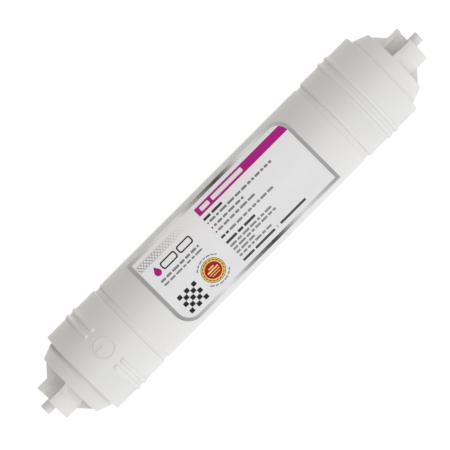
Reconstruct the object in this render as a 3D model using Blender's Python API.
"""Inline water filter cartridge with a quarter-inch stem at each end.

It lies on the bands round its collars, with its axis along X: the inlet is at
-X, and +Z goes up through the middle of the label. The origin is below the
middle, on the surface that it lies on. Both ends are alike, so most sizes are
given once, as a distance from the middle along the axis, or as a radius.
All sizes are in millimetres, and mm() turns them into metres.
"""

import math

import bmesh
import bpy
from mathutils import Matrix, Vector

for old in list(bpy.data.objects):
    bpy.data.objects.remove(old, do_unlink=True)

# ---------------------------------------------------------------- dimensions
# Outside of an end cap, from the middle of the cartridge outwards
COLLAR_LIP_X = 77.6
COLLAR_END_X = 113.1
COLLAR_R = 26.8
BAND_X = (92.65, 97.5)  # two bands round each collar
BAND_TOP_R = 27.6
BAND_BASE_W = 2.7
BAND_TOP_W = 1.5
BAND_GAP = (-20.4, 27.0)  # degrees from +Z to +Y, open beside the inlet's mould mark
DOME_NECK_X = 114.8
DOME_NECK_R = 22.9
DOME_END_X = 122.6  # flat end of the dome, and floor of the socket
DOME_END_R = 19.9
SHROUD_R = 11.35
SHROUD_BORE_R = 8.75
SHROUD_END_X = 136.1
STEM_R = 3.175  # quarter-inch tube size
STEM_BORE_R = 2.0
STEM_TIP_X = 141.6  # half of the overall length
STEM_CHAMFER = 0.3

# Four webs brace the shroud, and two opposite quarters of its wall are open
WEB_HALF_T = 1.45
WEB_BASE_R = 18.0
WEB_TOP_X = 128.7
WINDOW_EDGE = WEB_HALF_T + 0.1  # the wall stops in line with the side of a web
WINDOW_SILL = 0.15
CAP_TURN = 3.3  # degrees from +Z to +Y that both caps are turned, from the label's middle

# Inside of an end cap
COLLAR_BORE_R = 24.9
PLATE_SEAT_X = 110.6  # shoulder that the distributor plate is held under
PLATE_SEAT_R = 20.6
DOME_INSIDE_X = 119.6
DOME_INSIDE_R = 17.2
STEM_HOLE_R = 2.6
STEM_ROOT_X = 118.8  # the stem shows inside the dome as a low boss

# Housing tube
TUBE_R = 26.45
TUBE_BORE_R = 22.9
TUBE_SHOULDER_X = 74.1
GROOVE_R = 25.75  # seen between the tube's shoulder and the collar
SPIGOT_END_X = 108.0

GAP = 0.3  # between neighbouring pieces
PACK_R = TUBE_BORE_R - GAP

# What the tube holds
PLATE_R = COLLAR_BORE_R - 0.4
PLATE_T = 2.0
PLATE_HOLE_R = 1.6
PLATE_RINGS = ((0.0, 1), (8.0, 6), (16.0, 12))  # radius and number of holes
SCREEN_T = 0.5
FELT_T = 1.8
SPONGE_T = 7.0
SEPARATOR_T = 3.0

# Label, bent round the tube: two corners are square and two are round
LABEL_X = (-56.4, 57.6)
LABEL_HALF_ANGLE = 61.9
LABEL_GAP = 0.25
LABEL_T = 0.2
LABEL_CORNER_R = 8.0

SEGS = 64  # flat sides round the large diameters
FINE_SEGS = 32  # and round the stems
STEP = 360.0 / SEGS
AXIS_Z = BAND_TOP_R * math.cos(math.pi / SEGS)  # so that the bands rest on a flat side


def mm(v):
    return v * 0.001


# ---------------------------------------------------------------- materials
def material(name, colour, roughness, metallic=0.0):
    m = bpy.data.materials.new(name)
    m.use_nodes = True
    bsdf = m.node_tree.nodes["Principled BSDF"]
    bsdf.inputs["Base Color"].default_value = (*colour, 1.0)
    bsdf.inputs["Roughness"].default_value = roughness
    bsdf.inputs["Metallic"].default_value = metallic
    m.diffuse_color = (*colour, 1.0)
    return m


WHITE_PP = material("white_polypropylene", (0.80, 0.79, 0.77), 0.38)
LABEL_FILM = material("label_film", (0.80, 0.79, 0.81), 0.25)
PLATE_PP = material("distributor_polypropylene", (0.74, 0.76, 0.78), 0.45)
NYLON = material("nylon_mesh", (0.88, 0.88, 0.84), 0.6)
FELT = material("felt", (0.90, 0.89, 0.86), 0.95)
SPONGE = material("sponge", (0.86, 0.84, 0.72), 0.95)
MINERAL = material("mineral_balls", (0.52, 0.47, 0.40), 0.85)
CERAMIC = material("ceramic_balls", (0.50, 0.30, 0.22), 0.85)
CALCITE = material("alkaline_balls", (0.78, 0.76, 0.71), 0.85)

AXIS = bpy.data.objects.new("cartridge_axis", None)
AXIS.location.z = mm(AXIS_Z)
bpy.context.scene.collection.objects.link(AXIS)


# ---------------------------------------------------------------- helpers
def add_object(name, bm, mat=None, x=0.0, smooth=True):
    me = bpy.data.meshes.new(name)
    bmesh.ops.recalc_face_normals(bm, faces=bm.faces)
    bm.to_mesh(me)
    bm.free()
    ob = bpy.data.objects.new(name, me)
    bpy.context.scene.collection.objects.link(ob)
    ob.parent = AXIS
    ob.location.x = mm(x)
    if mat:
        me.materials.append(mat)
    if smooth:
        me.shade_smooth()
        me.set_sharp_from_angle(angle=math.radians(30))
    return ob


def turned(profile, segs=SEGS, start=None, end=None):
    """Turn a closed profile of (x, r) about X. Angles go from +Z to +Y.

    Without angles it goes all the way round, with a flat side at +Z and -Z.
    """
    whole = start is None
    if whole:
        start = 180.0 / segs
        end = start + 360.0
    a = math.radians(start)
    bm = bmesh.new()
    vs = [
        bm.verts.new((mm(x), mm(r) * math.sin(a), mm(r) * math.cos(a)))
        for x, r in profile
    ]
    if whole:
        geom = vs + [
            bm.edges.new((vs[i], vs[(i + 1) % len(vs)])) for i in range(len(vs))
        ]
    else:
        geom = [bm.faces.new(vs)]
    bmesh.ops.spin(
        bm,
        geom=geom,
        cent=(0, 0, 0),
        axis=(-1, 0, 0),
        dvec=(0, 0, 0),
        angle=math.radians(end - start),
        steps=segs,
        use_merge=whole,
        use_duplicate=False,
    )
    bmesh.ops.remove_doubles(bm, verts=bm.verts, dist=1e-7)
    return bm


def disc(radius, thickness):
    """A plain disc about X, centred on its own origin."""
    half = thickness / 2
    bm = bmesh.new()
    rims = []
    for x in (-half, half):
        rims.append(
            [
                bm.verts.new(
                    (
                        mm(x),
                        mm(radius) * math.sin(math.radians((k + 0.5) * STEP)),
                        mm(radius) * math.cos(math.radians((k + 0.5) * STEP)),
                    )
                )
                for k in range(SEGS)
            ]
        )
    low, high = rims
    bm.faces.new(low)
    bm.faces.new(high)
    for k in range(SEGS):
        n = (k + 1) % SEGS
        bm.faces.new((low[k], low[n], high[n], high[k]))
    return bm


def with_the_cap(ob):
    ob.rotation_euler.x = math.radians(-CAP_TURN)
    return guide(ob)


def guide(ob):
    ob.hide_render = True
    ob.display_type = "WIRE"
    return ob


def boolean(ob, other, operation):
    mod = ob.modifiers.new(operation.lower() + "_" + other.name, "BOOLEAN")
    mod.operation = operation
    mod.object = other
    mod.solver = "EXACT"


def on_side(profile, side):
    return [(x * side, r) for x, r in profile]


# ---------------------------------------------------------------- housing tube
half = [
    (TUBE_SHOULDER_X, TUBE_R),
    (TUBE_SHOULDER_X, GROOVE_R),
    (COLLAR_LIP_X - GAP, GROOVE_R),
    (COLLAR_LIP_X - GAP, COLLAR_BORE_R - GAP),
    (SPIGOT_END_X, COLLAR_BORE_R - GAP),
    (SPIGOT_END_X, TUBE_BORE_R),
]
add_object(
    "housing_tube", turned(half + [(-x, r) for x, r in reversed(half)]), WHITE_PP
)


# ---------------------------------------------------------------- end caps
BANDS = [
    (centre + offset, r)
    for centre in BAND_X
    for offset, r in (
        (-BAND_BASE_W / 2, COLLAR_R),
        (-BAND_TOP_W / 2, BAND_TOP_R),
        (BAND_TOP_W / 2, BAND_TOP_R),
        (BAND_BASE_W / 2, COLLAR_R),
    )
]
CAP_PROFILE = [
    (COLLAR_LIP_X, COLLAR_BORE_R),
    (COLLAR_LIP_X, COLLAR_R),
    *BANDS,
    (COLLAR_END_X, COLLAR_R),
    (COLLAR_END_X, DOME_NECK_R),
    (DOME_NECK_X, DOME_NECK_R),
    (DOME_END_X, DOME_END_R),
    (DOME_END_X, SHROUD_R),
    (SHROUD_END_X, SHROUD_R),
    (SHROUD_END_X, SHROUD_BORE_R),
    (DOME_END_X, SHROUD_BORE_R),
    (DOME_END_X, STEM_HOLE_R),
    (DOME_INSIDE_X, STEM_HOLE_R),
    (DOME_INSIDE_X, DOME_INSIDE_R),
    (COLLAR_END_X, PLATE_SEAT_R),
    (PLATE_SEAT_X, PLATE_SEAT_R),
    (PLATE_SEAT_X, COLLAR_BORE_R),
]


def webs(name, side):
    """Four webs from the end of the dome up the side of the shroud."""
    inner = (SHROUD_R + SHROUD_BORE_R) / 2
    outline = [
        (DOME_END_X - 1.0, inner),
        (DOME_END_X - 1.0, WEB_BASE_R),
        (DOME_END_X, WEB_BASE_R),
        (WEB_TOP_X, SHROUD_R),
        (WEB_TOP_X, inner),
    ]
    bm = bmesh.new()
    for quarter in range(4):
        turn = Matrix.Rotation(math.radians(90 * quarter), 4, "X")
        face = bm.faces.new(
            [
                bm.verts.new(turn @ Vector((mm(x * side), mm(-WEB_HALF_T), mm(r))))
                for x, r in outline
            ]
        )
        grown = bmesh.ops.extrude_face_region(bm, geom=[face])
        bmesh.ops.translate(
            bm,
            verts=[g for g in grown["geom"] if isinstance(g, bmesh.types.BMVert)],
            vec=turn @ Vector((0, mm(2 * WEB_HALF_T), 0)),
        )
    return with_the_cap(add_object(name, bm, smooth=False))


def windows(name, side):
    """The two open quarters of the shroud, at +Y +Z and at -Y -Z."""
    x0, x1 = DOME_END_X + WINDOW_SILL, SHROUD_END_X + 1.0
    bm = bmesh.new()
    for sign in (1, -1):
        lo = Vector((mm(x0 * side), mm(WINDOW_EDGE * sign), mm(WINDOW_EDGE * sign)))
        hi = Vector((mm(x1 * side), mm(12.5 * sign), mm(12.5 * sign)))
        cube = bmesh.ops.create_cube(bm, size=1.0)
        size = hi - lo
        bmesh.ops.scale(
            bm, verts=cube["verts"], vec=(abs(size.x), abs(size.y), abs(size.z))
        )
        bmesh.ops.translate(bm, verts=cube["verts"], vec=(lo + hi) / 2)
    return with_the_cap(add_object(name, bm, smooth=False))


def stem(name, side):
    profile = [
        (STEM_ROOT_X, STEM_BORE_R),
        (STEM_ROOT_X, STEM_R),
        (STEM_TIP_X - STEM_CHAMFER, STEM_R),
        (STEM_TIP_X, STEM_R - STEM_CHAMFER),
        (STEM_TIP_X, STEM_BORE_R),
    ]
    return guide(
        add_object(name, turned(on_side(profile, side), FINE_SEGS), smooth=False)
    )


def band_gap(name, side):
    """What is cut from the bands, either side of the mould mark. It stays just clear of the collar."""
    x0, x1 = BAND_X[0] - BAND_BASE_W, BAND_X[1] + BAND_BASE_W
    r0, r1 = COLLAR_R + 0.1, BAND_TOP_R + 1.0
    profile = [(x0, r0), (x0, r1), (x1, r1), (x1, r0)]
    bm = turned(on_side(profile, side), 9, *BAND_GAP)
    return guide(add_object(name, bm, smooth=False))


def end_cap(name, side, mould_mark):
    """Collar, dome, webs, slotted shroud and hollow stem, moulded as one."""
    ob = add_object(name, turned(on_side(CAP_PROFILE, side)), WHITE_PP)
    if mould_mark:
        boolean(ob, band_gap(name + "_band_gap_guide", side), "DIFFERENCE")
    boolean(ob, webs(name + "_web_guide", side), "UNION")
    boolean(ob, windows(name + "_window_guide", side), "DIFFERENCE")
    boolean(ob, stem(name + "_stem_guide", side), "UNION")


end_cap("inlet_end_cap", -1, mould_mark=True)
end_cap("outlet_end_cap", 1, mould_mark=False)


# ---------------------------------------------------------------- what the tube holds
def distributor_plate(name, x):
    ob = add_object(name, disc(PLATE_R, PLATE_T), PLATE_PP, x)
    bm = bmesh.new()
    for ring, count in PLATE_RINGS:
        for k in range(count):
            place = (
                Matrix.Rotation(2 * math.pi * k / count, 4, "X")
                @ Matrix.Translation((0, 0, mm(ring)))
                @ Matrix.Rotation(math.radians(90), 4, "Y")
            )
            bmesh.ops.create_cone(
                bm,
                cap_ends=True,
                segments=8,
                radius1=mm(PLATE_HOLE_R),
                radius2=mm(PLATE_HOLE_R),
                depth=mm(PLATE_T + 2.0),
                matrix=place,
            )
    boolean(ob, guide(add_object(name + "_hole_guide", bm, x=x, smooth=False)), "DIFFERENCE")


for end, side in (("inlet", -1), ("outlet", 1)):
    distributor_plate(
        end + "_distributor_plate", side * (SPIGOT_END_X + GAP + PLATE_T / 2)
    )
    at = SPIGOT_END_X
    for piece, thick, mat in (
        ("mesh_screen", SCREEN_T, NYLON),
        ("felt_disc", FELT_T, FELT),
        ("sponge_pad", SPONGE_T, SPONGE),
    ):
        add_object(f"{end}_{piece}", disc(PACK_R, thick), mat, side * (at - thick / 2))
        at -= thick + GAP

# Three beds of balls share the rest of the bore, with a separator between them
bed = (2 * at - 2 * SEPARATOR_T - 4 * GAP) / 3
x = -at
for name, thick, mat in (
    ("mineral_ball_bed", bed, MINERAL),
    ("inlet_side_separator", SEPARATOR_T, FELT),
    ("ceramic_ball_bed", bed, CERAMIC),
    ("outlet_side_separator", SEPARATOR_T, FELT),
    ("alkaline_ball_bed", bed, CALCITE),
):
    add_object(name, disc(PACK_R, thick), mat, x + thick / 2)
    x += thick + GAP


# ---------------------------------------------------------------- label
def label(name):
    x0, x1 = LABEL_X
    top = math.radians(LABEL_HALF_ANGLE) * TUBE_R  # length along the arc
    rc = LABEL_CORNER_R
    quarter = [math.radians(90 * k / 6) for k in range(7)]
    outline = [(x0, top)]
    outline += [(x1 - rc + rc * math.sin(a), top - rc + rc * math.cos(a)) for a in quarter]
    outline += [(x1, -top)]
    outline += [(x0 + rc - rc * math.sin(a), rc - top - rc * math.cos(a)) for a in quarter]
    bm = bmesh.new()
    bm.faces.new([bm.verts.new((mm(px), mm(arc), 0)) for px, arc in outline])
    for k in range(-12, 12):  # creases where the tube's own flat sides meet
        arc = math.radians((k + 0.5) * STEP) * TUBE_R
        if abs(arc) < top:
            bmesh.ops.bisect_plane(
                bm,
                geom=bm.verts[:] + bm.edges[:] + bm.faces[:],
                dist=1e-7,
                plane_co=(0, mm(arc), 0),
                plane_no=(0, 1, 0),
            )
    grown = bmesh.ops.extrude_face_region(bm, geom=bm.faces[:])
    bmesh.ops.translate(
        bm,
        verts=[g for g in grown["geom"] if isinstance(g, bmesh.types.BMVert)],
        vec=(0, 0, mm(LABEL_T)),
    )
    bmesh.ops.triangulate(bm, faces=bm.faces)
    for v in bm.verts:
        a = v.co.y / mm(TUBE_R)
        r = mm(TUBE_R + LABEL_GAP) + v.co.z
        v.co.y, v.co.z = r * math.sin(a), r * math.cos(a)
    add_object(name, bm, LABEL_FILM)


label("label")
